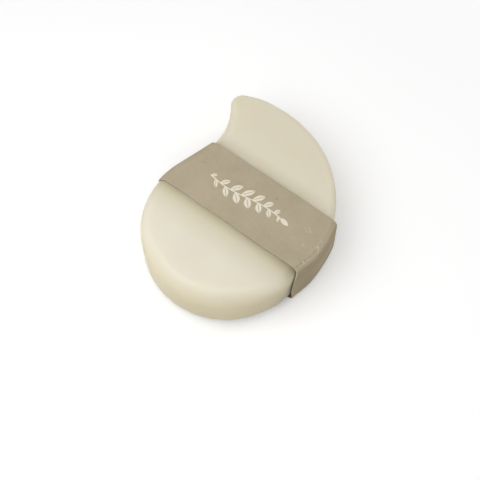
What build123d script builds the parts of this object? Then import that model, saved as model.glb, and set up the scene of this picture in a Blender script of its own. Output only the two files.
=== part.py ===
from build123d import *
import math
import os

# Outline of the bar from above: four arcs, each running smoothly into the next.
# A direction is in degrees from +X, about the arc's own centre.
lobe_radius = 31.7      # round lower end
flank_radius = 45.4     # long bulging side
flank_start_angle = -35.7   # direction where the lobe runs into the flank
flank_end_angle = 113.1     # direction where the flank runs into the tip
tip_radius = 4.45       # blunt upper point
hollow_radius = 26.0    # scooped side between the tip and the lobe

bar_thickness = 22.0
edge_radius = 4.2       # soft edges round the top and the underside

# Paper band round the waist of the bar, its length along X. Under the bar its two ends lap:
# the layer from the hollow side lies outside, and the layer from the flank side inside it.
paper_thickness = 0.35
band_width = 24.4
band_rise = 11.8        # from the lobe's centre up to the middle of the band
fold_radius = 2.6       # inside of the folds on the flank side; on the other side they hug the bar
slack = 0.4             # room between the bar and the paper
wall_ease = 13.0        # how much flatter than the flank the paper beside it runs
wall_touch_angle = -10.7    # direction in which that wall comes nearest to the flank
hollow_stand = 0.6      # how far the paper's upper edge stands off the scooped side
lap_end = 13.0          # free end of the outer layer, from the lobe's centre along X
lap_length = 22.0       # glued lap, back from that end
cut_through = 1.0       # how far a cut runs past the face that it opens


def polar(center, radius, direction):
    return center + Vector(radius, 0).rotate(Axis.Z, direction)


def heading(start, end):
    return math.degrees(math.atan2(end.Y - start.Y, end.X - start.X))


# The flank holds the lobe and the tip inside it, and the hollow touches both from outside
lobe_center = Vector(0, 0)
flank_center = polar(lobe_center, lobe_radius - flank_radius, flank_start_angle)
tip_center = polar(flank_center, flank_radius - tip_radius, flank_end_angle)
lobe_reach = lobe_radius + hollow_radius
tip_reach = tip_radius + hollow_radius
span = (tip_center - lobe_center).length
hollow_turn = math.acos((lobe_reach**2 + span**2 - tip_reach**2) / (2 * lobe_reach * span))
lobe_start = heading(lobe_center, tip_center) + math.degrees(hollow_turn)
hollow_center = polar(lobe_center, lobe_reach, lobe_start)
tip_end = heading(tip_center, hollow_center) % 360
soft_edge = min(edge_radius, 0.96 * tip_radius, 0.48 * bar_thickness)

# The band's long edges, and the place where its upper edge crosses the hollow side
band_top = lobe_center.Y + band_rise + band_width / 2
band_bottom = band_top - band_width
hollow_reach = math.sqrt(hollow_radius**2 - (band_top - hollow_center.Y) ** 2)
waist = Vector(hollow_center.X + hollow_reach - hollow_stand, band_top)
bridge_turn = math.acos(lobe_radius / (waist - lobe_center).length)
bridge_touch = heading(lobe_center, waist) + math.degrees(bridge_turn)


def soap_bar():
    lobe = CenterArc(lobe_center, lobe_radius, lobe_start, flank_start_angle + 360 - lobe_start)
    flank = CenterArc(flank_center, flank_radius, flank_start_angle, flank_end_angle - flank_start_angle)
    tip = CenterArc(tip_center, tip_radius, flank_end_angle, tip_end - flank_end_angle)
    hollow = CenterArc(hollow_center, hollow_radius, tip_end - 180, lobe_start - tip_end)
    bar = extrude(make_face(lobe + flank + tip + hollow), bar_thickness)
    rims = bar.faces().filter_by(Axis.Z).edges()
    return fillet(rims, soft_edge)


def folds_of(block, side):
    # the edges to fold the paper over, on the hollow side (-1) or the flank side (1)
    along_bar = [edge for edge in block.edges() if abs((edge % 0.5).Y) > 0.5]
    return [edge for edge in along_bar if (edge @ 0.5).X * side > 0]


def waist_block(gap, beyond, low):
    # what the paper wraps, grown by gap: straight across the hollow and on round the lobe,
    # and a flatter arc than the flank's on the other side
    top = band_top + beyond
    bottom = band_bottom - beyond
    lobe_grown = lobe_radius + gap
    touch = polar(lobe_center, lobe_grown, bridge_touch)
    along = Vector(0, 1).rotate(Axis.Z, bridge_touch - 180)
    bridge_top = touch + along * ((top - touch.Y) / along.Y)
    lobe_end = 180 + math.degrees(math.asin((lobe_center.Y - bottom) / lobe_grown))
    bow_grown = flank_radius + wall_ease + gap
    bow_center = polar(flank_center, -wall_ease, wall_touch_angle)
    bow_start = math.degrees(math.asin((bottom - bow_center.Y) / bow_grown))
    bow_end = math.degrees(math.asin((top - bow_center.Y) / bow_grown))

    bridge = Line(bridge_top, touch)
    round_lobe = CenterArc(lobe_center, lobe_grown, bridge_touch, lobe_end - bridge_touch)
    bow = CenterArc(bow_center, bow_grown, bow_start, bow_end - bow_start)
    lower = Line(round_lobe @ 1, bow @ 0)
    upper = Line(bow @ 1, bridge_top)
    plan = make_face(bridge + round_lobe + lower + bow + upper)
    block = Pos(0, 0, low) * extrude(plan, bar_thickness + gap - low)
    block = fillet(folds_of(block, -1), soft_edge + gap)
    return fillet(folds_of(block, 1), min(fold_radius, soft_edge) + gap - slack)


def lapped_block(gap, beyond, low, step_place):
    # one skin of the band: a sheet's thickness lower on the hollow side of the step
    step = Plane.YZ.offset(step_place)
    hollow_side = split(waist_block(gap, beyond, low - paper_thickness), step, Keep.BOTTOM)
    flank_side = split(waist_block(gap, beyond, low), step, Keep.TOP)
    return hollow_side + flank_side


def paper_band():
    outside = lapped_block(slack + paper_thickness, 0, -paper_thickness, lap_end)
    inside = lapped_block(slack, cut_through, 0, lap_end - lap_length)
    return outside - inside


bar = soap_bar()
band = paper_band()

# Origin under the middle of the whole, on the surface that it lies on
box = bar.bounding_box().add(band.bounding_box())
place = Pos(-box.center().X, -box.center().Y, -box.min.Z)

os.makedirs("parts", exist_ok=True)
export_step(place * bar, "parts/soap_bar.step")
export_step(place * band, "parts/paper_band.step")
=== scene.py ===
import bpy
import math
import numpy as np
from mathutils import Matrix, Vector, noise
from mathutils.geometry import delaunay_2d_cdt


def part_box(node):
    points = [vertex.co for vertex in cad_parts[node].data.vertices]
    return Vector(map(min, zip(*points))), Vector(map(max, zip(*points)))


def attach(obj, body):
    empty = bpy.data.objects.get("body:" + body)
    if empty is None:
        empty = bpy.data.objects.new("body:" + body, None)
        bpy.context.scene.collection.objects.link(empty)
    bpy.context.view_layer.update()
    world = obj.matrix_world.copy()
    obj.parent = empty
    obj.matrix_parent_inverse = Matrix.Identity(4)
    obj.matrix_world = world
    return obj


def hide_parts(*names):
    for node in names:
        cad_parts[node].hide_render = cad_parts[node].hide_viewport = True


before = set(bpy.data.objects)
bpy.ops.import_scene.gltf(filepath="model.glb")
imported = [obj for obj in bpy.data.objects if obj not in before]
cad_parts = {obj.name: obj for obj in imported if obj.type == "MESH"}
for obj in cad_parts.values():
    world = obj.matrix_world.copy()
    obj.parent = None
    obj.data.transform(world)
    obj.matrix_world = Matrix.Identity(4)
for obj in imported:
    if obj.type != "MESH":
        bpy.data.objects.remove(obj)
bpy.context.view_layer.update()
barLow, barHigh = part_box("soap_bar")
bandLow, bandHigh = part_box("paper_band")
mm = 0.001
print("frame loaded:", sorted(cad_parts))


# camera: looks down on the bar from the photo's angle
cameraView = {
    "azimuth": 35.03,
    "elevation": 64.89,
    "roll": 2.33,
    "aim": (4.05 * mm, -9.43 * mm, 11.0 * mm),
    "distance": 312.5 * mm,
    "lens": 62.24,
    "clipStart": 10.0 * mm,
}


def placeCamera(view):
    azimuth, elevation = math.radians(view["azimuth"]), math.radians(view["elevation"])
    back = Vector((math.sin(azimuth) * math.cos(elevation), -math.cos(azimuth) * math.cos(elevation),
                   math.sin(elevation)))
    camera = bpy.data.objects.new("camera", bpy.data.cameras.new("camera"))
    camera.data.lens = view["lens"]
    camera.data.clip_start = view["clipStart"]
    aimed = (-back).to_track_quat("-Z", "Y").to_matrix()
    rolled = aimed @ Matrix.Rotation(math.radians(view["roll"]), 3, "Z")
    place = Vector(view["aim"]) + back * view["distance"]
    camera.matrix_world = Matrix.Translation(place) @ rolled.to_4x4()
    bpy.context.scene.collection.objects.link(camera)
    bpy.context.scene.camera = camera


placeCamera(cameraView)
print("camera placed")


# small helpers for node trees
def addNode(tree, kind, inputs=None, **settings):
    node = tree.nodes.new(kind)
    for name, value in settings.items():
        setattr(node, name, value)
    for socket, value in (inputs or {}).items():
        if isinstance(value, bpy.types.NodeSocket):
            tree.links.new(value, node.inputs[socket])
        else:
            node.inputs[socket].default_value = value
    return node


def calc(tree, operation, *values):
    return addNode(tree, "ShaderNodeMath", dict(enumerate(values)), operation=operation).outputs[0]


def times(tree, first, *others):
    for other in others:
        first = calc(tree, "MULTIPLY", first, other)
    return first


def oneMinus(tree, value):
    return calc(tree, "SUBTRACT", 1.0, value)


def spread(tree, value, low, high, toLow=0.0, toHigh=1.0):
    # a smooth step from one range of values to another
    node = addNode(tree, "ShaderNodeMapRange",
                   {"Value": value, "From Min": low, "From Max": high, "To Min": toLow, "To Max": toHigh},
                   interpolation_type="SMOOTHSTEP")
    return node.outputs["Result"]


def tint(tree, factor, first, second):
    return addNode(tree, "ShaderNodeMix", {0: factor, 6: first, 7: second}, data_type="RGBA").outputs[2]


def objectPlace(tree):
    return addNode(tree, "ShaderNodeTexCoord").outputs["Object"]


def splitAxes(tree, vector):
    node = addNode(tree, "ShaderNodeSeparateXYZ", {"Vector": vector})
    return node.outputs["X"], node.outputs["Y"], node.outputs["Z"]


def facingAxes(tree):
    return splitAxes(tree, addNode(tree, "ShaderNodeNewGeometry").outputs["Normal"])


def readMask(tree, name):
    return addNode(tree, "ShaderNodeAttribute", attribute_name=name).outputs["Fac"]


def addBump(tree, shader, height, strength, depth):
    bump = addNode(tree, "ShaderNodeBump", {"Strength": strength, "Distance": depth, "Height": height})
    tree.links.new(bump.outputs["Normal"], shader.inputs["Normal"])


def seenDirectly(tree):
    # 1 for the camera and for what shows in gloss or glass, 0 for light thrown on other things
    rays = addNode(tree, "ShaderNodeLightPath").outputs
    shown = calc(tree, "MAXIMUM", rays["Is Glossy Ray"], rays["Is Transmission Ray"])
    return calc(tree, "MAXIMUM", rays["Is Camera Ray"], shown)


def newGroup(name, inputs, outputs):
    group = bpy.data.node_groups.new(name, "ShaderNodeTree")
    for label, kind in inputs:
        group.interface.new_socket(label, in_out="INPUT", socket_type=kind)
    for label, kind in outputs:
        group.interface.new_socket(label, in_out="OUTPUT", socket_type=kind)
    return group, group.nodes.new("NodeGroupInput"), group.nodes.new("NodeGroupOutput")


def useGroup(tree, group, inputs):
    return addNode(tree, "ShaderNodeGroup", inputs, node_tree=group).outputs


def newMaterial(name):
    material = bpy.data.materials.new(name)
    material.use_nodes = True
    tree = material.node_tree
    return material, tree, tree.nodes["Principled BSDF"]


def screenColor(red, green, blue):
    # screen colour 0-255 to linear
    linear = [((channel / 255 + 0.055) / 1.055) ** 2.4 for channel in (red, green, blue)]
    return (*linear, 1.0)


# mottle: slow clouds and fine grain, for soap and paper alike
mottleLayers = {
    "Clouds": {"scale": "Cloud Scale", "detail": 3.0, "roughness": 0.55, "range": (0.3, 0.7)},
    "Grain": {"scale": "Grain Scale", "detail": 4.0, "roughness": 0.65, "range": (0.25, 0.75)},
}


def makeMottle():
    group, source, result = newGroup(
        "mottle",
        [("Vector", "NodeSocketVector"), ("Cloud Scale", "NodeSocketFloat"),
         ("Grain Scale", "NodeSocketFloat")],
        [("Clouds", "NodeSocketFloat"), ("Grain", "NodeSocketFloat")])
    for name, layer in mottleLayers.items():
        field = addNode(group, "ShaderNodeTexNoise", {
            "Vector": source.outputs["Vector"], "Scale": source.outputs[layer["scale"]],
            "Detail": layer["detail"], "Roughness": layer["roughness"]})
        group.links.new(spread(group, field.outputs["Fac"], *layer["range"]), result.inputs[name])
    return group


# specks: a share of the cells of a point field get a small dot
speckForm = {
    "leastSize": 0.3,            # joins each dot's own random size
    "softEdge": 0.5,             # share of the dot over which it fades
}


def makeSpecks():
    group, source, result = newGroup(
        "specks",
        [("Vector", "NodeSocketVector"), ("Scale", "NodeSocketFloat"), ("Size", "NodeSocketFloat"),
         ("Share", "NodeSocketFloat")],
        [("Mask", "NodeSocketFloat")])
    cells = addNode(group, "ShaderNodeTexVoronoi", {"Vector": source.outputs["Vector"],
                                                    "Scale": source.outputs["Scale"]})
    pick = addNode(group, "ShaderNodeSeparateColor", {"Color": cells.outputs["Color"]})
    chosen = calc(group, "LESS_THAN", pick.outputs["Red"], source.outputs["Share"])
    ownSize = calc(group, "ADD", pick.outputs["Green"], speckForm["leastSize"])
    reach = times(group, source.outputs["Size"], ownSize)
    near = oneMinus(group, calc(group, "DIVIDE", cells.outputs["Distance"], reach))
    dot = spread(group, near, 0.0, speckForm["softEdge"])
    group.links.new(times(group, dot, chosen), result.inputs["Mask"])
    return group


mottle = makeMottle()
specks = makeSpecks()
print("shared effects made")


# soap bar
bar = {
    "lobeRadius": 31.7 * mm,
    "flankRadius": 45.4 * mm,
    "flankStart": -35.7,         # degrees, where the lobe runs into the flank
    "flankEnd": 113.1,           # degrees, where the flank runs into the tip
    "tipRadius": 4.45 * mm,
    "hollowRadius": 26.0 * mm,
    "edgeRadius": 4.2 * mm,
    "softWay": (0.20, -0.98),    # the top edge is rounder where the outline faces this way
    "softFrom": 0.45,            # by at least so much,
    "softOver": 0.45,            # growing over so much more
    "softReach": 5.6 * mm,
    "softDepth": 9.0 * mm,
    "tipEdge": 2.8 * mm,         # and crisper round the tip,
    "tipBelow": 12.0 * mm,       # from so far below its centre
    "tipBeside": 14.0 * mm,      # to so far beside it
    "tipFade": 10.0 * mm,
    "crownFlat": 12.0 * mm,      # the faces are level this far each side of the middle
    "crownRadius": 160.0 * mm,   # and then fall away on this arc
    "rimEase": 0.40 * mm,        # and a little more all along the rim
    "rimReach": 11.0 * mm,
    "easeEnd": 12.0 * mm,        # but less and less from here towards the tip
    "easeFade": 16.0 * mm,
    "flankPress": 1.5 * mm,      # how far the paper's lower corner presses the flank in,
    "pressBelow": 9.0 * mm,      # from so far below the paper's lower edge
    "pressAbove": 23.0 * mm,     # to so far above it
    "pressFade": 14.0 * mm,
    "pressFrom": 18.0 * mm,      # on the flank side alone
    "pressOver": 12.0 * mm,
    "pressFoot": 6.0 * mm,       # and less at the foot
    "pointGap": 0.9 * mm,        # between mesh points round the outline
    "arcPoints": 14,             # at least so many on each arc
    "edgeSteps": 14,             # mesh steps over a rounded edge
    "wallSteps": 10,             # and down the side
    "capGap": 1.5 * mm,          # between mesh points on the flat faces
    "capRow": 0.866,             # share of that between their rows
    "capRim": 0.7,               # and between them and the rim
    "unevenness": 0.07 * mm,     # slow waves left by pressing and drying
    "unevenSize": 14.0 * mm,
    "quickSize": 0.3,            # share of that size for the quicker waves
    "quickShift": (7, 3, 1),     # sets them apart from the slow ones
    "slowShare": 0.5,
    "quickShare": 0.15,
    "unevenSink": 0.6,           # keeps the waves inside the solid
    "paleTone": screenColor(231, 226, 209),
    "warmTone": screenColor(229, 223, 205),
    "cloudScale": 45.0,
    "grainScale": 1400.0,
    "upperTone": screenColor(228, 220, 196),   # towards the tip
    "upperZone": (8.0 * mm, 30.0 * mm, 0.0, 0.7),   # from, to, and the share of the tone at each
    # painted warm bounce light: the upright sides are yellower and darker
    "sideBounceTone": screenColor(224, 214, 182),
    "sideBounceTurn": (0.95, 0.0),     # how upright the surface's normal is, from the first of it to the most; painted warm bounce light on the sides
    "besideShadeTone": screenColor(201, 191, 159),   # painted shade beside the paper's long edges
    "closeShadeTone": screenColor(172, 161, 130),     # and darker painted shade close to them
    # tone, how far from the paper's edge, and the most of it
    "lowerShade": (("besideShadeTone", 14.0 * mm, 0.50), ("besideShadeTone", 5.5 * mm, 0.62),
                   ("closeShadeTone", 4.2 * mm, 0.26)),
    "upperShade": (("besideShadeTone", 7.0 * mm, 0.60),),
    "shadeFade": (27.0 * mm, 14.0 * mm, 0.35, 1.0),   # the upper one is weaker towards the flank
    "cornerShadeTone": screenColor(140, 134, 122),   # painted grey shade at the paper's lower corner,
    "cornerBelow": (14.0 * mm, 2.0 * mm),       # below the paper's edge
    "cornerFlank": (15.0 * mm, 27.0 * mm),      # on the flank side
    "cornerHeight": (23.0 * mm, 7.0 * mm, 0.0, 0.55),   # and most of it low down
    "pitTone": screenColor(196, 184, 150),
    "pitShare": 0.35,
    "pits": {"Scale": 260.0, "Size": 0.10, "Share": 0.10},
    "roughGrain": 0.5,
    "roughZone": (0.2, 1.3, 0.40, 0.52),
    "reliefGrain": 0.35,
    "bump": (0.35, 0.06 * mm),   # strength and depth
    "scatterRadius": (1.0, 0.9, 0.7),
    "scatterScale": 4.0 * mm,
    "ior": 1.46,
}


def smooth(value):
    value = min(max(value, 0.0), 1.0)
    return value * value * (3 - 2 * value)


def falling(distance, reach):
    # from 1 at no distance straight down to 0 at the reach
    return max(0.0, 1 - distance / reach)


def polar(center, radius, degrees):
    turn = math.radians(degrees)
    return (center[0] + radius * math.cos(turn), center[1] + radius * math.sin(turn))


def heading(start, end):
    return math.degrees(math.atan2(end[1] - start[1], end[0] - start[0]))


lobeCenter = (barLow.x + bar["lobeRadius"], barLow.y + bar["lobeRadius"])
flankCenter = polar(lobeCenter, bar["lobeRadius"] - bar["flankRadius"], bar["flankStart"])
tipCenter = polar(flankCenter, bar["flankRadius"] - bar["tipRadius"], bar["flankEnd"])


def barArcs():
    # lobe, flank, tip and hollow as (centre, radius, side, first angle, last angle)
    # the side is -1 on the hollow, which bends inwards
    lobeReach = bar["lobeRadius"] + bar["hollowRadius"]
    tipReach = bar["tipRadius"] + bar["hollowRadius"]
    span = math.dist(lobeCenter, tipCenter)
    turn = math.acos((lobeReach**2 + span**2 - tipReach**2) / (2 * lobeReach * span))
    lobeStart = heading(lobeCenter, tipCenter) + math.degrees(turn)
    hollowCenter = polar(lobeCenter, lobeReach, lobeStart)
    tipEnd = heading(tipCenter, hollowCenter) % 360
    return [
        (lobeCenter, bar["lobeRadius"], 1, lobeStart, bar["flankStart"] + 360),
        (flankCenter, bar["flankRadius"], 1, bar["flankStart"], bar["flankEnd"]),
        (tipCenter, bar["tipRadius"], 1, bar["flankEnd"], tipEnd),
        (hollowCenter, bar["hollowRadius"], -1, tipEnd - 180, lobeStart - 180),
    ]


def barOutline():
    # points round the outline, and the way outwards at each
    points, ways = [], []
    for center, radius, side, first, last in barArcs():
        length = radius * math.radians(abs(last - first))
        count = max(bar["arcPoints"], round(length / bar["pointGap"]))
        for step in range(count):
            turn = first + (last - first) * step / count
            points.append(polar(center, radius, turn))
            ways.append(polar((0, 0), side, turn))
    return np.array(points), np.array(ways)


def insideRing(points, ring):
    inside = np.zeros(len(points), bool)
    for (x0, y0), (x1, y1) in zip(ring, np.roll(ring, -1, 0)):
        crosses = (y0 > points[:, 1]) != (y1 > points[:, 1])
        place = x0 + (points[:, 1] - y0) / (y1 - y0 + 1e-15) * (x1 - x0)   # never divides by nothing
        inside ^= crosses & (points[:, 0] < place)
    return inside


def capMesh(ring):
    # even points over the flat face, joined to its rim
    gap = bar["capGap"]
    low, high = ring.min(0), ring.max(0)
    grid = []
    for row, y in enumerate(np.arange(low[1], high[1], gap * bar["capRow"])):
        for x in np.arange(low[0] + gap / 2 * (row % 2), high[0], gap):
            grid.append((x, y))
    grid = np.array(grid)
    far = np.array([np.hypot(*(ring - p).T).min() > gap * bar["capRim"] for p in grid])
    grid = grid[insideRing(grid, ring) & far]
    count = len(ring)
    points = [Vector(p) / mm for p in np.vstack([ring, grid])]
    rim = [(i, (i + 1) % count) for i in range(count)]
    made = delaunay_2d_cdt(points, rim, [], 1, 1e-7)   # 1 keeps what lies inside the rim
    source = [owners[0] for owners in made[3]]
    return grid, [[source[i] for i in face] for face in made[2]]


def meshObject(name, points, faces):
    mesh = bpy.data.meshes.new(name)
    mesh.from_pydata([tuple(p) for p in points], [], faces)
    mesh.validate()
    mesh.update()
    piece = bpy.data.objects.new(name, mesh)
    bpy.context.scene.collection.objects.link(piece)
    return piece


def barProfile(outline, ways):
    # rings from the underside to the top: how far inside the outline, and how high, at each of its points
    edge, low, high = bar["edgeRadius"], barLow.z, barHigh.z
    softness = [smooth((way @ bar["softWay"] - bar["softFrom"]) / bar["softOver"]) for way in ways]
    tipness = [smooth((y - tipCenter[1] + bar["tipBelow"]) / bar["tipFade"])
               * smooth((tipCenter[0] + bar["tipBeside"] - x) / bar["tipFade"]) for x, y in outline]
    softness, tipness = np.array(softness), np.array(tipness)
    reach = edge + (bar["softReach"] - edge) * softness + (bar["tipEdge"] - edge) * tipness
    depth = edge + (bar["softDepth"] - edge) * softness + (bar["tipEdge"] - edge) * tipness
    rounding = [math.radians(90 * step / bar["edgeSteps"]) for step in range(bar["edgeSteps"] + 1)]
    level = np.ones(len(outline))
    profile = []
    for turn in rounding:
        profile.append((level * edge * (1 - math.sin(turn)), level * (low + edge * (1 - math.cos(turn)))))
    wall = high - depth - low - edge
    for step in range(1, bar["wallSteps"]):
        profile.append((level * 0, low + edge + wall * step / bar["wallSteps"]))
    for turn in rounding:
        profile.append((reach * (1 - math.cos(turn)), high - depth * (1 - math.sin(turn))))
    return profile


def crownDrop(x):
    # how far the top and the underside have fallen away there
    return max(0.0, abs(x) - bar["crownFlat"]) ** 2 / (2 * bar["crownRadius"])


def wornShape(x, y, z, outline):
    # the faces fall away towards the sides and the rim, like a pillow's, and the flank is pressed in
    waist, half = (barLow.z + barHigh.z) / 2, (barHigh.z - barLow.z) / 2
    inside = np.hypot(*(outline - (x, y)).T).min()
    towardsTip = smooth((y - bar["easeEnd"]) / bar["easeFade"])
    ease = bar["rimEase"] * falling(inside, bar["rimReach"]) ** 2 * (1 - towardsTip)
    pressed = smooth((y - bandLow.y + bar["pressBelow"]) / bar["pressBelow"])
    pressed *= smooth((bandLow.y + bar["pressAbove"] - y) / bar["pressFade"])
    pressed *= smooth((x - bar["pressFrom"]) / bar["pressOver"]) * smooth(z / bar["pressFoot"])
    return x - bar["flankPress"] * pressed, y, z - (crownDrop(x) + ease) * (z - waist) / half


def addUnevenness(mesh):
    size, shift = bar["unevenSize"], Vector(bar["quickShift"])
    shifts = []
    for vertex, normal in zip(mesh.vertices, mesh.vertex_normals):
        slow = noise.noise(vertex.co / size)
        quick = noise.noise(vertex.co / (bar["quickSize"] * size) + shift)
        wave = bar["slowShare"] * slow + bar["quickShare"] * quick - bar["unevenSink"]
        shifts.append(normal.vector * bar["unevenness"] * wave)
    for vertex, shift in zip(mesh.vertices, shifts):
        vertex.co += shift


def makeBar():
    outline, ways = barOutline()
    count = len(outline)
    profile = barProfile(outline, ways)
    rings = [outline - ways * inset[:, None] for inset, _ in profile]
    points = [(x, y, z) for ring, (_, heights) in zip(rings, profile) for (x, y), z in zip(ring, heights)]
    topRow = (len(rings) - 1) * count
    faces = []
    for row in range(0, topRow, count):
        for i in range(count):
            j = (i + 1) % count
            faces.append([row + i, row + j, row + count + j, row + count + i])
    for first, ring, z, turn in ((0, rings[0], barLow.z, -1), (topRow, rings[-1], barHigh.z, 1)):
        grid, triangles = capMesh(ring)
        offset = len(points) - count
        points += [(x, y, z) for x, y in grid]
        for face in triangles:
            face = [first + i if i < count else offset + i for i in face]
            faces.append(face[::turn])
    piece = meshObject("soapBar", [wornShape(x, y, z, outline) for x, y, z in points], faces)
    addUnevenness(piece.data)
    piece.data.shade_smooth()
    piece.data.update()
    return piece


def soapMaterial():
    material, tree, shader = newMaterial("ivorySoap")
    place = objectPlace(tree)
    soft = useGroup(tree, mottle, {"Vector": place, "Cloud Scale": bar["cloudScale"],
                                   "Grain Scale": bar["grainScale"]})
    pits = useGroup(tree, specks, {"Vector": place, **bar["pits"]})["Mask"]
    along, across, height = splitAxes(tree, place)
    upright = calc(tree, "ABSOLUTE", facingAxes(tree)[2])
    color = tint(tree, soft["Clouds"], bar["warmTone"], bar["paleTone"])
    color = tint(tree, spread(tree, across, *bar["upperZone"]), color, bar["upperTone"])
    # painted shade on the soap beside both long edges of the paper, weaker by the upper edge towards the
    # flank
    fade = spread(tree, along, *bar["shadeFade"])
    for edge, zones, keep in ((bandLow.y, bar["lowerShade"], 1.0), (bandHigh.y, bar["upperShade"], fade)):
        off = calc(tree, "ABSOLUTE", calc(tree, "SUBTRACT", across, edge))
        for tone, reach, share in zones:
            color = tint(tree, times(tree, spread(tree, off, reach, 0.0), keep, share), color, bar[tone])
    # painted warm bounce light on the upright sides
    color = tint(tree, spread(tree, upright, *bar["sideBounceTurn"]), color, bar["sideBounceTone"])
    # painted grey shade on the flank by the paper's lower corner, most of it low down
    corner = times(tree, spread(tree, across, *(bandLow.y - below for below in bar["cornerBelow"])),
                   spread(tree, along, *bar["cornerFlank"]), spread(tree, height, *bar["cornerHeight"]))
    color = tint(tree, corner, color, bar["cornerShadeTone"])
    color = tint(tree, times(tree, pits, bar["pitShare"]), color, bar["pitTone"])
    tree.links.new(color, shader.inputs["Base Color"])
    rough = calc(tree, "ADD", soft["Clouds"], times(tree, soft["Grain"], bar["roughGrain"]))
    tree.links.new(spread(tree, rough, *bar["roughZone"]), shader.inputs["Roughness"])
    relief = calc(tree, "SUBTRACT", times(tree, soft["Grain"], bar["reliefGrain"]), pits)
    addBump(tree, shader, relief, *bar["bump"])
    shader.inputs["Subsurface Weight"].default_value = 1.0
    shader.inputs["Subsurface Radius"].default_value = bar["scatterRadius"]
    shader.inputs["Subsurface Scale"].default_value = bar["scatterScale"]
    shader.inputs["IOR"].default_value = bar["ior"]
    return material


soapBar = makeBar()
soapBar.data.materials.append(soapMaterial())
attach(soapBar, "root")
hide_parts("soap_bar")
print("soap bar made:", len(soapBar.data.polygons), "faces")


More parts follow.
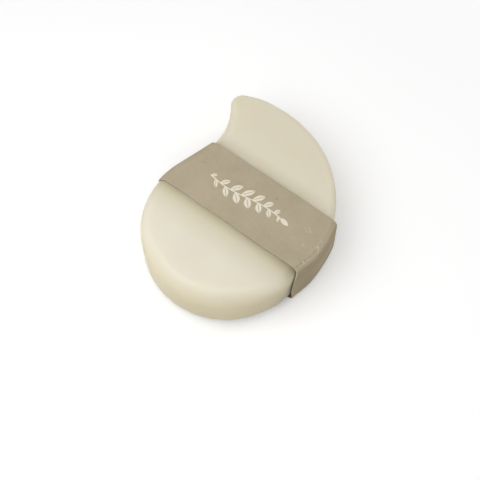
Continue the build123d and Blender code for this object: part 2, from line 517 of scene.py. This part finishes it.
# paper band: one strip folded round the waist, its ends lapped under the bar
band = {
    "thickness": 0.35 * mm,
    "foldRadius": 1.8 * mm,      # inside of the upper fold on the flank side
    "footRadius": 2.6 * mm,      # and of the lower one; the others hug the bar
    "cornerEase": 0.5 * mm,      # how much rounder the upper one gets towards the long edges
    "snug": 0.3 * mm,            # how much closer than the slack the paper lies to the lobe
    "hollowStand": 0.6 * mm,     # how far the upper edge stands off the scooped side
    "wallEase": 13.0 * mm,       # how much flatter than the flank its wall runs
    "wallTouch": -10.7,          # degrees, where that wall comes nearest to the flank
    "wallSnug": 0.01 * mm,       # keeps that wall inside the solid's own
    "lapEnd": 13.0 * mm,         # free end of the outer layer, from the lobe's centre along X
    "lapLength": 22.0 * mm,
    "rows": 44,                  # mesh rows across the width
    "runs": {                    # the strip's runs in order, each with its number of mesh steps
        "innerLap": 30, "rightFoot": 10, "rightWall": 18, "rightFold": 14, "top": 100,
        "leftFold": 14, "leftWall": 18, "leftFoot": 10, "outerLap": 44,
    },
    "sharpAngle": 50.0,
    "wallFree": 0.7,             # how freely the sheet waves on the flank side's wall, next to 1 on top
    "hollowFree": 0.5,           # and on the hollow side's
    "freeFoot": 0.25,            # share of a wall, from its foot, over which it comes free
    "freeHead": 0.12,            # and of the top, from each fold
    "cockle": 0.07 * mm,         # gentle waves of the sheet
    "cockleSize": 11.0 * mm,
    "cockleSink": 0.4,           # how much more they go down than up
    "cocklePlane": 0.3,          # their place in the noise
    "sink": 0.28 * mm,           # how far the sheet lies under the highest line of its edges
    "edgeLift": 0.26 * mm,       # how far the long edges curl off the soap
    "curlReach": 2.6 * mm,
    "upperCurl": 0.55,           # share of the curl at the upper edge
    "curlWave": (0.6, 0.5),      # its middle and how far it varies along the edge
    "curlSize": 9.0 * mm,
    "curlLines": (5.0, 9.0),     # places in the noise, for the lower and the upper edge
    "sag": 0.9,                  # how much of the soap's fall the paper follows on the hollow side,
    "sagFrom": 18.0 * mm,        # from here
    "sagOver": 8.0 * mm,
    "edgeWander": 0.22 * mm,     # unevenness of the long cut edges
    "wanderSize": 13.0 * mm,
    "wanderLines": (2.0, 4.0),   # places in the noise, for the lower and the upper edge
    "wanderPlane": 7.0,
    "wanderPower": 3,            # how quickly it dies away from the edges
    "skew": 2.1 * mm,            # how far the flank side's foot leans towards the round end,
    "skewPower": 2.6,            # most of it high up
    "cornerTuck": 1.5 * mm,      # how far that side draws in at the round end's edge
    "footLoose": 0.45,           # share of that which is lost again at its foot
    "footReach": 9.0 * mm,
    "headTuck": 0.7 * mm,        # how far its head draws in at the other edge
    "headReach": 14.0 * mm,
    "tuckFrom": 0.2,             # share of the half width that neither of them moves
    "foldLean": 0.9 * mm,        # and how far the fold leans in between
    "leanReach": 7.0 * mm,
    "topReach": 16.0 * mm,       # how far in on top they are felt
    "creaseAt": {"rightFoot": 0.5, "rightFold": 12 / 14},   # share of each fold's turn
    "foldWear": ((-7.6 * mm, 1.9 * mm), (0.8 * mm, 3.0 * mm)),   # worn patches along the fold: place, reach
    "wearReach": 2.6 * mm,       # how far from a fold
    "wearPower": 1.5,
    "footWear": 0.3,             # all along the lower fold
    "scuffs": ((26.9 * mm, -2.1 * mm, 1.3 * mm), (24.7 * mm, 3.8 * mm, 1.6 * mm)),   # place and reach
    "scuffWear": 0.8,
    "dimple": (14.6 * mm, -5.8 * mm, 1.5 * mm, 0.10 * mm),   # place, reach and depth
    "sheetTone": screenColor(180, 167, 142),
    "darkTone": screenColor(174, 161, 136),
    "cloudScale": 110.0,
    "grainScale": 2600.0,
    "fleckTone": screenColor(140, 124, 98),
    "darkFlecks": {"Scale": 520.0, "Size": 0.22, "Share": 0.10},
    "paleFleckTone": screenColor(204, 194, 172),
    "paleFlecks": {"Scale": 640.0, "Size": 0.22, "Share": 0.09},
    "paleShift": (0.3, 0.1, 0.2),   # sets them apart from the dark ones
    "fleckShare": 0.45,
    "fibres": (((380.0, 1500.0, 1500.0), 0.9), ((1300.0, 420.0, 1300.0), -0.55)),   # scale and turn
    "fibreDetail": 2.0,
    "fibreRange": (0.42, 0.72),
    "fibreShare": 0.14,
    "wallShadeTone": screenColor(160, 147, 122),   # painted shade on the wall under the fold
    "wallShadeTurn": (0.7, 0.97),                  # how far it faces the flank side
    "wallShadeHeight": (11.0 * mm, 18.0 * mm, 0.0, 0.55),   # from, to, and the share of the tone at each
    "wornTone": screenColor(205, 195, 174),
    "chips": (1300.0, 2.0),      # scale and detail of the places where the colour breaks
    "chipWear": 0.20,            # how much wear helps it
    "chipRange": (0.64, 0.74),
    "wearRange": (0.05, 0.35),
    "wornShare": 0.85,
    "dashReach": (0.32, 0.10),   # millimetres from the crease
    "dashRange": (0.56, 0.44),
    "dashZone": (4.0 * mm, -1.0 * mm, 0.15, 1.0),   # fewer towards the tip
    "dashShare": 0.75,
    "inkTone": screenColor(233, 225, 205),
    "inkRange": (0.0, 0.5, 0.80, 0.98),   # thinner where the grain is low
    "cutTone": screenColor(206, 197, 170),
    "roughZone": (0.0, 1.0, 0.78, 0.94),
    "fibreRelief": 0.35,
    "grainRelief": 0.5,
    "wornRelief": 0.9,
    "bump": (0.4, 0.08 * mm),    # strength and depth
    "ior": 1.4,
    "sprig": {                   # the print, in millimetres from its place
        "place": (-1.2 * mm, 1.2 * mm),
        "stem": (-16.5, 15.0),   # from and to
        "stemWave": (0.17, 1.1),    # how quickly it bends, and how far
        "stemEdge": (0.30, 0.16),
        "leafGap": 4.6,          # between leaves on one side
        "leafStart": 16.1,
        "leafWave": (0.095, 3.2, 2.1),   # their length along the stem: a wave, its height, and the least
        "leafTurn": 50.0,        # degrees from the stem
        "leafBelly": 0.95,
        "leafEdge": (-0.06, 0.10),
        "veinEdge": (0.16, 0.06),
        "veinStart": 0.9,
        "lastLeaf": (14.8, 4.2, 4.0),    # start, length and belly of the one that closes the stem
    },
}
flankRuns = ("rightFoot", "rightWall", "rightFold")


def bridgeTouch():
    # direction in which the paper leaves the lobe to run straight over the hollow
    hollowCenter, hollowRadius = barArcs()[3][:2]
    reach = math.sqrt(hollowRadius**2 - (bandHigh.y - hollowCenter[1]) ** 2)
    waist = (hollowCenter[0] + reach - band["hollowStand"], bandHigh.y)
    turn = math.acos(bar["lobeRadius"] / math.dist(waist, lobeCenter))
    return heading(lobeCenter, waist) + math.degrees(turn)


def leftWall(y, gap):
    # outside of the lobe, then straight over the hollow
    radius = bar["lobeRadius"] + gap
    direction = bridgeTouch()
    touch = polar(lobeCenter, radius, direction)
    if y > touch[1]:
        return touch[0] + (y - touch[1]) * math.tan(math.radians(180 - direction))
    return lobeCenter[0] - math.sqrt(radius**2 - (y - lobeCenter[1]) ** 2)


def rightWall(y, gap):
    center = polar(flankCenter, -band["wallEase"], band["wallTouch"])
    radius = bar["flankRadius"] + band["wallEase"] + gap
    return center[0] + math.sqrt(radius**2 - (y - center[1]) ** 2)


def stripSection(y, across, gap):
    # outer skin of the strip at one row, from its inner end to its outer one
    # each point is (run, share of the run, x, z, normal x, normal z)
    sheet = band["thickness"]
    fold = band["foldRadius"] + sheet + band["cornerEase"] * across**4
    foot = band["footRadius"] + sheet
    hug = bar["edgeRadius"] + gap - band["snug"]
    left = leftWall(y, gap - band["snug"])
    right = rightWall(y, gap - band["wallSnug"])
    top = bandHigh.z
    lapEnd = lobeCenter[0] + band["lapEnd"]
    lapStart = lapEnd - band["lapLength"]
    lines = {   # both ends and the normal
        "innerLap": ((lapStart, sheet), (right - foot, sheet), (0, -1)),
        "rightWall": ((right, sheet + foot), (right, top - fold), (1, 0)),
        "top": ((right - fold, top), (left + hug, top), (0, 1)),
        "leftWall": ((left, top - hug), (left, hug), (-1, 0)),
        "outerLap": ((left + hug, 0.0), (lapEnd, 0.0), (0, -1)),
    }
    arcs = {    # centre, radius and first direction
        "rightFoot": (right - foot, sheet + foot, foot, -90),
        "rightFold": (right - fold, top - fold, fold, 0),
        "leftFold": (left + hug, top - hug, hug, 90),
        "leftFoot": (left + hug, hug, hug, 180),
    }
    section = []
    for run, count in band["runs"].items():
        last = count + 1 if run == "outerLap" else count
        for step in range(last):
            share = step / count
            if run in lines:
                (x0, z0), (x1, z1), normal = lines[run]
                section.append((run, share, x0 + (x1 - x0) * share, z0 + (z1 - z0) * share, *normal))
            else:
                x, z, radius, start = arcs[run]
                turn = math.radians(start + 90 * share)
                section.append((run, share, x + radius * math.cos(turn), z + radius * math.sin(turn),
                                math.cos(turn), math.sin(turn)))
    return section


def stripPlaces(section):
    # how far along the strip each point lies, and the creases
    length, places, creases = 0.0, [], {}
    for k, (run, share, x, z, _, _) in enumerate(section):
        if k:
            length += math.hypot(x - section[k - 1][2], z - section[k - 1][3])
        places.append(length)
        if share == band["creaseAt"].get(run):
            creases[run] = length
    return places, creases


def freedom(run, share):
    # how freely the sheet waves and curls there: most on top, not at all underneath
    wall, hollow, head = band["wallFree"], band["hollowFree"], band["freeHead"]
    if run == "rightWall":
        return wall * smooth(share / band["freeFoot"])
    if run == "rightFold":
        return wall
    if run == "top":
        heldRight = (1 - wall) * smooth(1 - share / head)
        heldLeft = (1 - hollow) * smooth((share - (1 - head)) / head)
        return 1 - heldRight - heldLeft
    if run == "leftFold":
        return hollow
    if run == "leftWall":
        return hollow * smooth((1 - share) / band["freeFoot"])
    return 0.0


def sheetLift(run, share, x, y, place, across, edgeNear):
    # cockles, curled edges and a dimple, all of it inwards from the neat form
    free = freedom(run, share)
    edge = 0 if across < 0 else 1
    spot = Vector((place / band["cockleSize"], y / band["cockleSize"], band["cocklePlane"]))
    lift = free * band["cockle"] * (noise.noise(spot) - band["cockleSink"])
    curl = math.exp(-((edgeNear / band["curlReach"]) ** 2))
    side = (1.0, band["upperCurl"])[edge]
    middle, swing = band["curlWave"]
    wave = middle + swing * noise.noise(Vector((place / band["curlSize"], band["curlLines"][edge], 0)))
    lift += free * band["edgeLift"] * curl * side * wave
    if run == "top":
        px, py, reach, depth = band["dimple"]
        lift -= depth * math.exp(-((x - px) ** 2 + (y - py) ** 2) / reach**2)
    return min(lift - free * band["sink"], 0.0)


def hollowSag(run, x, z):
    # on the hollow side the paper follows the soap's fall
    if run not in ("top", "leftFold", "leftWall"):
        return 0.0
    upper = max(0.0, 2 * z / (barLow.z + barHigh.z) - 1)
    return band["sag"] * crownDrop(x) * smooth((-x - band["sagFrom"]) / band["sagOver"]) * upper


def edgeWander(place, across):
    line = band["wanderLines"][0 if across < 0 else 1]
    wander = noise.noise(Vector((place / band["wanderSize"], line, band["wanderPlane"])))
    return band["edgeWander"] * wander * abs(across) ** band["wanderPower"]


def flankSkew(run, share, z, across):
    # the flank side's wall leans towards the round end, and the inner lap comes back from it
    lean = 0.0
    if run in flankRuns:
        fallen = min(1.0, (bandHigh.z - z) / (bandHigh.z - band["thickness"]))
        lean = 1 - (1 - fallen) ** band["skewPower"]
    elif run == "innerLap":
        lean = smooth(share)
    return band["skew"] * lean * smooth((1 - across) / 2)


def flankTuck(run, share, x, z, across, right):
    # that wall's edges draw in, the round end's all the way down, and its fold leans in between
    if run not in (*flankRuns, "innerLap", "top"):
        return 0.0
    below, kept = bandHigh.z - z, band["tuckFrom"]
    towardsFold = falling(right - x, band["topReach"]) ** 2
    tuck = band["cornerTuck"] * smooth((-across - kept) / (1 - kept))
    if run == "innerLap":
        tuck *= smooth(share)
    elif run == "top":
        tuck *= towardsFold
    shift = tuck * (1 - band["footLoose"] * smooth(1 - z / band["footReach"]))
    lean = band["foldLean"] * (1 - across**2)
    if run == "top":
        shift += lean * towardsFold
    elif run in ("rightFold", "rightWall"):
        shift += lean * falling(below, band["leanReach"]) ** 2
        shift += band["headTuck"] * falling(below, band["headReach"]) * smooth(across * (1 + kept) - kept)
    return shift


def wornAt(x, y, offFold, offFoot, run):
    # share of the colour that has rubbed off: in patches along the folds, and in a few scuffs on top
    along = sum(math.exp(-(((y - place) / reach) ** 2)) for place, reach in band["foldWear"])
    worn = along * falling(offFold, band["wearReach"]) ** band["wearPower"]
    worn = max(worn, band["footWear"] * falling(offFoot, band["wearReach"]))
    if run == "top":
        for px, py, reach in band["scuffs"]:
            scuffed = math.exp(-((x - px) ** 2 + (y - py) ** 2) / reach**2)
            worn = max(worn, band["scuffWear"] * scuffed)
    return worn


def bandFaces(rows, steps):
    # both skins, and then the cut edges along the sides and across the ends
    total, lastRow = (rows + 1) * steps, rows * steps
    faces = []
    for row in range(rows):
        for k in range(steps - 1):
            a, b = row * steps + k, (row + 1) * steps + k
            faces.append([a, b, b + 1, a + 1])
            faces.append([total + a, total + a + 1, total + b + 1, total + b])
    cutFrom = len(faces)
    for k in range(steps - 1):
        faces.append([k, k + 1, total + k + 1, total + k])
        faces.append([lastRow + k, total + lastRow + k, total + lastRow + k + 1, lastRow + k + 1])
    for row in range(rows):
        a, b = row * steps, (row + 1) * steps
        faces.append([a, total + a, total + b, b])
        a, b = a + steps - 1, b + steps - 1
        faces.append([a, b, total + b, total + a])
    return faces, cutFrom


def addMask(mesh, name, domain, values):
    mesh.attributes.new(name, "FLOAT", domain).data.foreach_set("value", values)


def makeBand():
    sheet = band["thickness"]
    gap = bandHigh.z - barHigh.z
    middle, half = (bandHigh.y + bandLow.y) / 2, (bandHigh.y - bandLow.y) / 2
    rows = band["rows"]
    outer, inner, crease, wear, printed = [], [], [], [], []
    for row in range(rows + 1):
        across = math.sin(math.pi / 2 * (2 * row / rows - 1))   # -1 to 1, with closer rows at the edges
        y = middle + half * across
        edgeNear = half * (1 - abs(across))
        right = rightWall(y, gap)
        section = stripSection(y, across, gap)
        places, creases = stripPlaces(section)
        for place, (run, share, x, z, nx, nz) in zip(places, section):
            lift = sheetLift(run, share, x, y, place, across, edgeNear)
            movedX = x - flankTuck(run, share, x, z, across, right)
            movedY = y + (edgeWander(place, across) - flankSkew(run, share, z, across))
            movedZ = z - hollowSag(run, x, z)
            outer.append((movedX + nx * lift, movedY, movedZ + nz * lift))
            inner.append((movedX + nx * (lift - sheet), movedY, movedZ + nz * (lift - sheet)))
            offFold, offFoot = abs(place - creases["rightFold"]), abs(place - creases["rightFoot"])
            crease.append(min(offFold, offFoot) / mm)
            wear.append(wornAt(x, y, offFold, offFoot, run))
            printed.append(1.0 if run == "top" else 0.0)
    faces, cutFrom = bandFaces(rows, len(section))
    piece = meshObject("paperBand", outer + inner, faces)
    mesh = piece.data
    addMask(mesh, "crease", "POINT", crease + crease)
    addMask(mesh, "wear", "POINT", wear + wear)
    addMask(mesh, "printed", "POINT", printed + [0.0] * len(inner))
    addMask(mesh, "cut", "FACE", [0.0] * cutFrom + [1.0] * (len(faces) - cutFrom))
    mesh.shade_smooth()
    mesh.set_sharp_from_angle(angle=math.radians(band["sharpAngle"]))
    return piece


def sprigMask(tree, place):
    # a leafy sprig along the band: a waving stem with leaves on alternate sides
    sprig = band["sprig"]
    x, y = [calc(tree, "DIVIDE", calc(tree, "SUBTRACT", axis, start), mm)
            for axis, start in zip(splitAxes(tree, place), sprig["place"])]
    pace, swing = sprig["stemWave"]
    y = calc(tree, "SUBTRACT", y, times(tree, calc(tree, "SINE", times(tree, x, pace)), swing))
    height = calc(tree, "ABSOLUTE", y)
    first, last = sprig["stem"]
    within = times(tree, calc(tree, "GREATER_THAN", x, first), calc(tree, "LESS_THAN", x, last))
    stem = times(tree, spread(tree, height, *sprig["stemEdge"]), within)
    # the leaves below the stem are half a step on
    under = times(tree, calc(tree, "LESS_THAN", y, 0.0), sprig["leafGap"] / 2)
    walk = calc(tree, "ADD", calc(tree, "ADD", x, sprig["leafStart"]), under)
    local = calc(tree, "FLOORED_MODULO", walk, sprig["leafGap"])
    pace, swing, least = sprig["leafWave"]
    size = calc(tree, "ADD", times(tree, calc(tree, "COSINE", times(tree, x, pace)), swing), least)
    ahead, up = math.cos(math.radians(sprig["leafTurn"])), math.sin(math.radians(sprig["leafTurn"]))
    along = calc(tree, "ADD", times(tree, local, ahead), times(tree, height, up))
    aside = calc(tree, "SUBTRACT", times(tree, height, ahead), times(tree, local, up))
    aside = calc(tree, "ABSOLUTE", aside)
    share = calc(tree, "DIVIDE", along, size)
    belly = times(tree, share, oneMinus(tree, share), times(tree, size, sprig["leafBelly"]))
    leaf = spread(tree, calc(tree, "SUBTRACT", belly, aside), *sprig["leafEdge"])
    veined = calc(tree, "GREATER_THAN", along, sprig["veinStart"])
    vein = times(tree, spread(tree, aside, *sprig["veinEdge"]), veined)
    leaf = times(tree, leaf, within, oneMinus(tree, vein))
    # one leaf closes the end of the stem
    start, length, fullness = sprig["lastLeaf"]
    beyond = calc(tree, "DIVIDE", calc(tree, "SUBTRACT", x, start), length)
    closing = times(tree, beyond, oneMinus(tree, beyond), fullness)
    closing = spread(tree, calc(tree, "SUBTRACT", closing, height), *sprig["leafEdge"])
    return calc(tree, "MAXIMUM", calc(tree, "MAXIMUM", stem, leaf), closing)


def paperMaterial():
    material, tree, shader = newMaterial("greigePaper")
    place = objectPlace(tree)
    _, across, height = splitAxes(tree, place)
    soft = useGroup(tree, mottle, {"Vector": place, "Cloud Scale": band["cloudScale"],
                                   "Grain Scale": band["grainScale"]})
    dark = useGroup(tree, specks, {"Vector": place, **band["darkFlecks"]})["Mask"]
    shifted = addNode(tree, "ShaderNodeMapping", {"Vector": place, "Location": band["paleShift"]})
    pale = useGroup(tree, specks, {"Vector": shifted.outputs["Vector"], **band["paleFlecks"]})["Mask"]
    # fibres: noise drawn out along and across the strip
    fibres = []
    for scale, turn in band["fibres"]:
        drawn = addNode(tree, "ShaderNodeMapping",
                        {"Vector": place, "Rotation": (0, 0, turn), "Scale": scale})
        fibre = addNode(tree, "ShaderNodeTexNoise", {"Vector": drawn.outputs["Vector"], "Scale": 1.0,
                                                     "Detail": band["fibreDetail"]})
        fibres.append(spread(tree, fibre.outputs["Fac"], *band["fibreRange"]))
    felt = times(tree, calc(tree, "ADD", *fibres), 1 / len(fibres))
    color = tint(tree, soft["Clouds"], band["darkTone"], band["sheetTone"])
    color = tint(tree, times(tree, felt, band["fibreShare"]), color, band["paleFleckTone"])
    color = tint(tree, times(tree, dark, band["fleckShare"]), color, band["fleckTone"])
    color = tint(tree, times(tree, pale, band["fleckShare"]), color, band["paleFleckTone"])
    # painted shade on the upper part of the wall under the fold, where it faces the flank side
    wallShadeMask = times(tree, spread(tree, facingAxes(tree)[0], *band["wallShadeTurn"]),
                    spread(tree, height, *band["wallShadeHeight"]))
    color = tint(tree, wallShadeMask, color, band["wallShadeTone"])
    # worn fold: clusters of pale specks where the colour has broken, and short dark dashes along the crease
    wear = readMask(tree, "wear")
    scale, detail = band["chips"]
    chips = addNode(tree, "ShaderNodeTexNoise", {"Vector": place, "Scale": scale, "Detail": detail})
    chips = chips.outputs["Fac"]
    broken = calc(tree, "ADD", chips, times(tree, wear, band["chipWear"]))
    worn = times(tree, spread(tree, broken, *band["chipRange"]), spread(tree, wear, *band["wearRange"]))
    color = tint(tree, times(tree, worn, band["wornShare"]), color, band["wornTone"])
    dashes = times(tree, spread(tree, readMask(tree, "crease"), *band["dashReach"]),
                   spread(tree, chips, *band["dashRange"]), spread(tree, across, *band["dashZone"]))
    color = tint(tree, times(tree, dashes, band["dashShare"]), color, band["fleckTone"])
    ink = times(tree, sprigMask(tree, place), readMask(tree, "printed"))
    thin = spread(tree, soft["Grain"], *band["inkRange"])
    color = tint(tree, times(tree, ink, thin), color, band["inkTone"])
    color = tint(tree, readMask(tree, "cut"), color, band["cutTone"])
    tree.links.new(color, shader.inputs["Base Color"])
    tree.links.new(spread(tree, soft["Grain"], *band["roughZone"]), shader.inputs["Roughness"])
    relief = times(tree, felt, band["fibreRelief"])
    for mask, amount in ((soft["Grain"], band["grainRelief"]), (worn, band["wornRelief"])):
        relief = calc(tree, "ADD", relief, times(tree, mask, amount))
    addBump(tree, shader, relief, *band["bump"])
    shader.inputs["IOR"].default_value = band["ior"]
    return material


paperBand = makeBand()
paperBand.data.materials.append(paperMaterial())
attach(paperBand, "root")
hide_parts("paper_band")
print("paper band made:", len(paperBand.data.polygons), "faces")


# floor, world and lamps
studio = {
    "floorSize": 3.0,
    "floorTone": (0.72, 0.70, 0.66, 1.0),
    "floorSeen": (0.95, 0.95, 0.95, 1.0),   # its colour for the eye
    "floorRough": 0.9,
    "floorShine": 0.1,
    "nearTone": (0.25, 0.20, 0.09, 1.0),   # what it throws back close to the bar, warm and dim
    "nearReach": (0.045, 0.090),
    "nearCenter": (0.010, 0.018, 0.0),
    "floorGlow": (0.21, 0.60),   # lifts the floor to white for the eye alone, near the bar and far off
    "glowReach": (0.10, 0.45),   # from here to there
    "white": (1, 1, 1, 1),
    "worldStrength": 0.42,
    "glows": (((-1.0, 0.0, 0.0), 0.20), ((-0.24, -0.97, 0.0), 0.62)),   # brighter sky: which way, how much
    "glowPower": 2.0,
    "lamps": {
        # place, size, power: one from behind, one close above the round end, a weak one beside the flank
        "key": ((0.300, 0.760, 0.440), 0.34, 1.50),
        "fill": ((-0.050, -0.085, 0.185), 0.16, 0.166),
        "side": ((0.490, -0.040, 0.120), 0.30, 0.38),
    },
}


def makeFloor():
    half = studio["floorSize"] / 2
    corners = [(-half, -half, 0), (half, -half, 0), (half, half, 0), (-half, half, 0)]
    floor = meshObject("floor", corners, [[0, 1, 2, 3]])
    material, tree, shader = newMaterial("paleFloor")
    seen = seenDirectly(tree)
    place = objectPlace(tree)
    away = addNode(tree, "ShaderNodeVectorMath", {0: place}, operation="LENGTH").outputs["Value"]
    near = addNode(tree, "ShaderNodeVectorMath", {0: place, 1: studio["nearCenter"]}, operation="DISTANCE")
    near = spread(tree, near.outputs["Value"], *studio["nearReach"])
    thrown = tint(tree, near, studio["nearTone"], studio["floorTone"])
    tree.links.new(tint(tree, seen, thrown, studio["floorSeen"]), shader.inputs["Base Color"])
    shader.inputs["Roughness"].default_value = studio["floorRough"]
    shader.inputs["Specular IOR Level"].default_value = studio["floorShine"]
    shader.inputs["Emission Color"].default_value = studio["white"]
    glow = spread(tree, away, *studio["glowReach"], *studio["floorGlow"])
    tree.links.new(times(tree, seen, glow), shader.inputs["Emission Strength"])
    floor.data.materials.append(material)


def makeWorld():
    world = bpy.data.worlds.new("studio")
    world.use_nodes = True
    tree = world.node_tree
    way = addNode(tree, "ShaderNodeTexCoord").outputs["Generated"]
    sky = studio["worldStrength"]
    for glowWay, glowStrength in studio["glows"]:
        facing = addNode(tree, "ShaderNodeVectorMath", {0: way, 1: glowWay}, operation="DOT_PRODUCT")
        facing = calc(tree, "MAXIMUM", facing.outputs["Value"], 0.0)
        glow = calc(tree, "POWER", facing, studio["glowPower"])
        sky = calc(tree, "ADD", times(tree, glow, glowStrength), sky)
    shade = tree.nodes["Background"]
    shade.inputs["Color"].default_value = studio["white"]
    tree.links.new(calc(tree, "MAXIMUM", sky, seenDirectly(tree)), shade.inputs["Strength"])
    bpy.context.scene.world = world


def makeLamp(name, place, size, power):
    lamp = bpy.data.lights.new(name, "AREA")
    lamp.size = size
    lamp.energy = power
    holder = bpy.data.objects.new(name, lamp)
    holder.location = place
    holder.rotation_mode = "QUATERNION"
    holder.rotation_quaternion = (-Vector(place)).to_track_quat("-Z", "Y")
    holder.visible_camera = False
    bpy.context.scene.collection.objects.link(holder)


makeFloor()
makeWorld()
for name, (place, size, power) in studio["lamps"].items():
    makeLamp(name, place, size, power)
bpy.context.scene.view_settings.view_transform = "Standard"
print("floor and light made")
